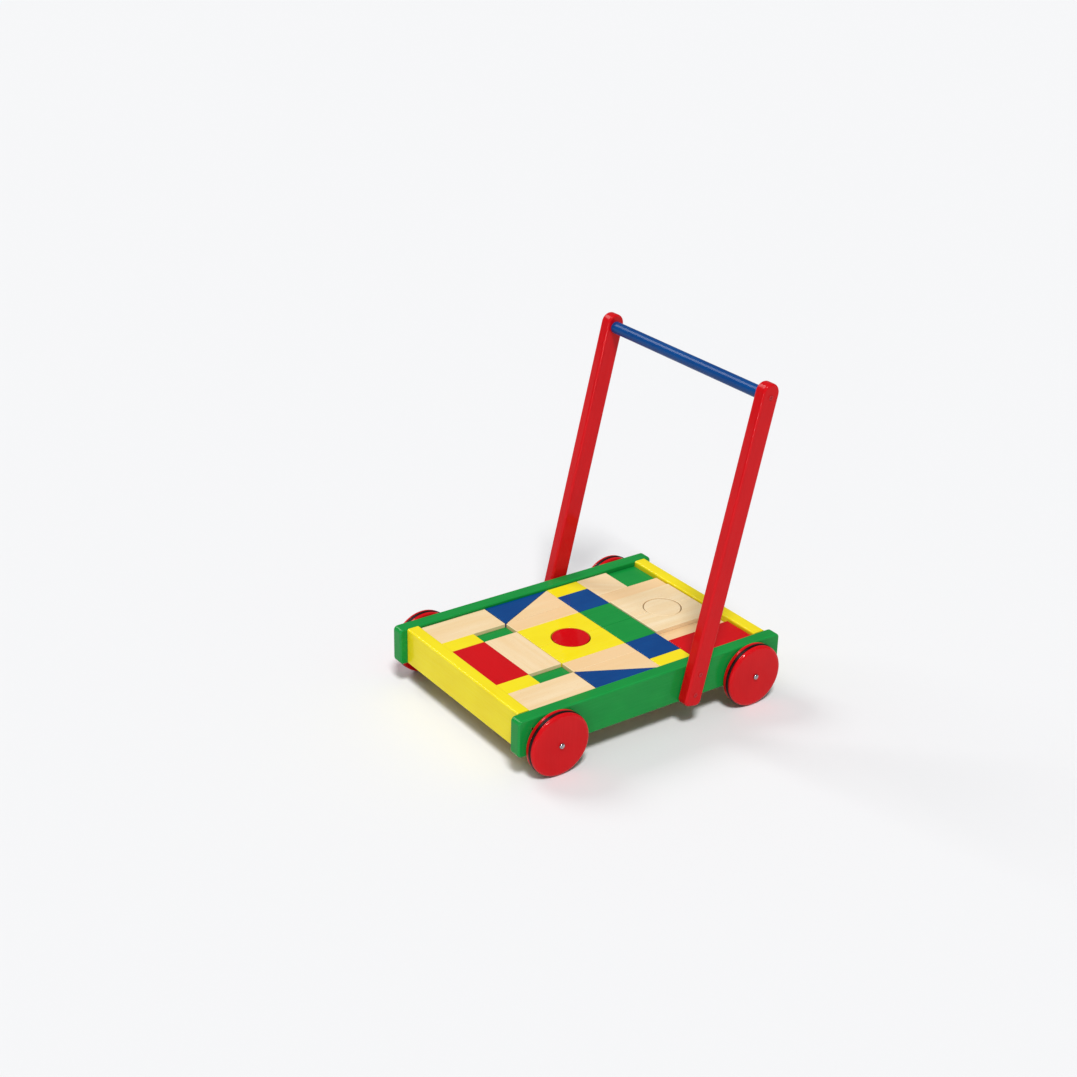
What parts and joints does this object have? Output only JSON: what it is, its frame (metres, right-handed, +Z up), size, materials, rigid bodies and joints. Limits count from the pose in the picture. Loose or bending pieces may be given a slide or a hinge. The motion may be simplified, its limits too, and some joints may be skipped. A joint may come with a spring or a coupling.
{
  "type": "baby walker",
  "caption": "Wooden push-along toy walker: low tray on four wheels with leaning uprights and a round push bar, filled with loose coloured building blocks.",
  "frame": {"origin": "on the floor, under the middle of the whole walker", "axes": "+X to the left of the child who pushes it, -Y the way it is pushed, +Y to the push bar, +Z up"},
  "size_m": [0.3288, 0.412, 0.4469],
  "materials": {
    "paint_red": "gloss red paint on wood",
    "paint_green": "gloss green paint on wood",
    "paint_yellow": "gloss yellow paint on wood",
    "paint_blue": "gloss blue paint on wood",
    "wood_natural": "clear satin lacquer on pale wood",
    "plywood": "bare thin plywood",
    "rubber": "dull dark rubber",
    "steel": "bright plated steel",
    "enamel_red": "steel screw with a red enamelled head"
  },
  "bodies": {
    "frame": {"axle_cap_front_left": "steel", "axle_cap_front_right": "steel", "axle_cap_rear_left": "steel", "axle_cap_rear_right": "steel", "axle_front": "steel", "axle_rear": "steel", "end_board_front": "paint_yellow", "end_board_rear": "paint_yellow", "handle_bar": "paint_blue", "handle_screw_left": "enamel_red", "handle_screw_right": "enamel_red", "side_board_left": "paint_green", "side_board_right": "paint_green", "tray_floor": "plywood", "upright_left": "paint_red", "upright_right": "paint_red", "upright_screw_left_lower": "enamel_red", "upright_screw_left_upper": "enamel_red", "upright_screw_right_lower": "enamel_red", "upright_screw_right_upper": "enamel_red"},
    "wheel_front_left": {"wheel_front_left": "paint_red", "wheel_ring_front_left": "rubber"},
    "wheel_front_right": {"wheel_front_right": "paint_red", "wheel_ring_front_right": "rubber"},
    "wheel_rear_left": {"wheel_rear_left": "paint_red", "wheel_ring_rear_left": "rubber"},
    "wheel_rear_right": {"wheel_rear_right": "paint_red", "wheel_ring_rear_right": "rubber"},
    "arch_natural_left": {"arch_natural_left": "wood_natural"},
    "arch_natural_right": {"arch_natural_right": "wood_natural"},
    "arch_yellow_left": {"arch_yellow_left": "paint_yellow"},
    "arch_yellow_right": {"arch_yellow_right": "paint_yellow"},
    "brick_green_front_left": {"brick_green_front_left": "paint_green"},
    "brick_green_front_right": {"brick_green_front_right": "paint_green"},
    "brick_yellow_front_left": {"brick_yellow_front_left": "paint_yellow"},
    "brick_yellow_front_right": {"brick_yellow_front_right": "paint_yellow"},
    "brick_yellow_rear_left": {"brick_yellow_rear_left": "paint_yellow"},
    "brick_yellow_rear_right": {"brick_yellow_rear_right": "paint_yellow"},
    "disc_natural": {"disc_natural": "wood_natural"},
    "disc_red": {"disc_red": "paint_red"},
    "lath_natural_middle_left": {"lath_natural_middle_left": "wood_natural"},
    "lath_natural_middle_right": {"lath_natural_middle_right": "wood_natural"},
    "lath_natural_rear_left": {"lath_natural_rear_left": "wood_natural"},
    "lath_natural_rear_right": {"lath_natural_rear_right": "wood_natural"},
    "plank_natural_front": {"plank_natural_front": "wood_natural"},
    "plank_natural_front_left": {"plank_natural_front_left": "wood_natural"},
    "plank_natural_front_right": {"plank_natural_front_right": "wood_natural"},
    "plank_red_front": {"plank_red_front": "paint_red"},
    "plank_red_rear": {"plank_red_rear": "paint_red"},
    "square_blue_left": {"square_blue_left": "paint_blue"},
    "square_blue_right": {"square_blue_right": "paint_blue"},
    "square_green_corner": {"square_green_corner": "paint_green"},
    "square_green_left": {"square_green_left": "paint_green"},
    "square_green_right": {"square_green_right": "paint_green"},
    "square_natural": {"square_natural": "wood_natural"},
    "triangle_blue_left": {"triangle_blue_left": "paint_blue"},
    "triangle_blue_right": {"triangle_blue_right": "paint_blue"},
    "triangle_natural_left": {"triangle_natural_left": "wood_natural"},
    "triangle_natural_right": {"triangle_natural_right": "wood_natural"}
  },
  "joints": [
    {"name": "wheel_front_left_spin", "type": "hinge", "parent": "frame", "child": "wheel_front_left", "pos_m": [0.1537, -0.154, 0.043], "axis": [1, 0, 0], "continuous": true},
    {"name": "wheel_front_right_spin", "type": "hinge", "parent": "frame", "child": "wheel_front_right", "pos_m": [-0.1537, -0.154, 0.043], "axis": [1, 0, 0], "continuous": true},
    {"name": "wheel_rear_left_spin", "type": "hinge", "parent": "frame", "child": "wheel_rear_left", "pos_m": [0.1537, 0.154, 0.043], "axis": [1, 0, 0], "continuous": true},
    {"name": "wheel_rear_right_spin", "type": "hinge", "parent": "frame", "child": "wheel_rear_right", "pos_m": [-0.1537, 0.154, 0.043], "axis": [1, 0, 0], "continuous": true},
    {"name": "arch_natural_left_lift", "type": "slide", "parent": "frame", "child": "arch_natural_left", "axis": [0, 0, 1], "range_m": [0, 0.07]},
    {"name": "arch_natural_right_lift", "type": "slide", "parent": "frame", "child": "arch_natural_right", "axis": [0, 0, 1], "range_m": [0, 0.07]},
    {"name": "arch_yellow_left_lift", "type": "slide", "parent": "frame", "child": "arch_yellow_left", "axis": [0, 0, 1], "range_m": [0, 0.07]},
    {"name": "arch_yellow_right_lift", "type": "slide", "parent": "frame", "child": "arch_yellow_right", "axis": [0, 0, 1], "range_m": [0, 0.07]},
    {"name": "brick_green_front_left_lift", "type": "slide", "parent": "frame", "child": "brick_green_front_left", "axis": [0, 0, 1], "range_m": [0, 0.07]},
    {"name": "brick_green_front_right_lift", "type": "slide", "parent": "frame", "child": "brick_green_front_right", "axis": [0, 0, 1], "range_m": [0, 0.07]},
    {"name": "brick_yellow_front_left_lift", "type": "slide", "parent": "frame", "child": "brick_yellow_front_left", "axis": [0, 0, 1], "range_m": [0, 0.07]},
    {"name": "brick_yellow_front_right_lift", "type": "slide", "parent": "frame", "child": "brick_yellow_front_right", "axis": [0, 0, 1], "range_m": [0, 0.07]},
    {"name": "brick_yellow_rear_left_lift", "type": "slide", "parent": "frame", "child": "brick_yellow_rear_left", "axis": [0, 0, 1], "range_m": [0, 0.07]},
    {"name": "brick_yellow_rear_right_lift", "type": "slide", "parent": "frame", "child": "brick_yellow_rear_right", "axis": [0, 0, 1], "range_m": [0, 0.07]},
    {"name": "disc_natural_lift", "type": "slide", "parent": "frame", "child": "disc_natural", "axis": [0, 0, 1], "range_m": [0, 0.07]},
    {"name": "disc_red_lift", "type": "slide", "parent": "frame", "child": "disc_red", "axis": [0, 0, 1], "range_m": [0, 0.07]},
    {"name": "lath_natural_middle_left_lift", "type": "slide", "parent": "frame", "child": "lath_natural_middle_left", "axis": [0, 0, 1], "range_m": [0, 0.07]},
    {"name": "lath_natural_middle_right_lift", "type": "slide", "parent": "frame", "child": "lath_natural_middle_right", "axis": [0, 0, 1], "range_m": [0, 0.07]},
    {"name": "lath_natural_rear_left_lift", "type": "slide", "parent": "frame", "child": "lath_natural_rear_left", "axis": [0, 0, 1], "range_m": [0, 0.07]},
    {"name": "lath_natural_rear_right_lift", "type": "slide", "parent": "frame", "child": "lath_natural_rear_right", "axis": [0, 0, 1], "range_m": [0, 0.07]},
    {"name": "plank_natural_front_lift", "type": "slide", "parent": "frame", "child": "plank_natural_front", "axis": [0, 0, 1], "range_m": [0, 0.07]},
    {"name": "plank_natural_front_left_lift", "type": "slide", "parent": "frame", "child": "plank_natural_front_left", "axis": [0, 0, 1], "range_m": [0, 0.07]},
    {"name": "plank_natural_front_right_lift", "type": "slide", "parent": "frame", "child": "plank_natural_front_right", "axis": [0, 0, 1], "range_m": [0, 0.07]},
    {"name": "plank_red_front_lift", "type": "slide", "parent": "frame", "child": "plank_red_front", "axis": [0, 0, 1], "range_m": [0, 0.07]},
    {"name": "plank_red_rear_lift", "type": "slide", "parent": "frame", "child": "plank_red_rear", "axis": [0, 0, 1], "range_m": [0, 0.07]},
    {"name": "square_blue_left_lift", "type": "slide", "parent": "frame", "child": "square_blue_left", "axis": [0, 0, 1], "range_m": [0, 0.07]},
    {"name": "square_blue_right_lift", "type": "slide", "parent": "frame", "child": "square_blue_right", "axis": [0, 0, 1], "range_m": [0, 0.07]},
    {"name": "square_green_corner_lift", "type": "slide", "parent": "frame", "child": "square_green_corner", "axis": [0, 0, 1], "range_m": [0, 0.07]},
    {"name": "square_green_left_lift", "type": "slide", "parent": "frame", "child": "square_green_left", "axis": [0, 0, 1], "range_m": [0, 0.07]},
    {"name": "square_green_right_lift", "type": "slide", "parent": "frame", "child": "square_green_right", "axis": [0, 0, 1], "range_m": [0, 0.07]},
    {"name": "square_natural_lift", "type": "slide", "parent": "frame", "child": "square_natural", "axis": [0, 0, 1], "range_m": [0, 0.07]},
    {"name": "triangle_blue_left_lift", "type": "slide", "parent": "frame", "child": "triangle_blue_left", "axis": [0, 0, 1], "range_m": [0, 0.07]},
    {"name": "triangle_blue_right_lift", "type": "slide", "parent": "frame", "child": "triangle_blue_right", "axis": [0, 0, 1], "range_m": [0, 0.07]},
    {"name": "triangle_natural_left_lift", "type": "slide", "parent": "frame", "child": "triangle_natural_left", "axis": [0, 0, 1], "range_m": [0, 0.07]},
    {"name": "triangle_natural_right_lift", "type": "slide", "parent": "frame", "child": "triangle_natural_right", "axis": [0, 0, 1], "range_m": [0, 0.07]}
  ]
}
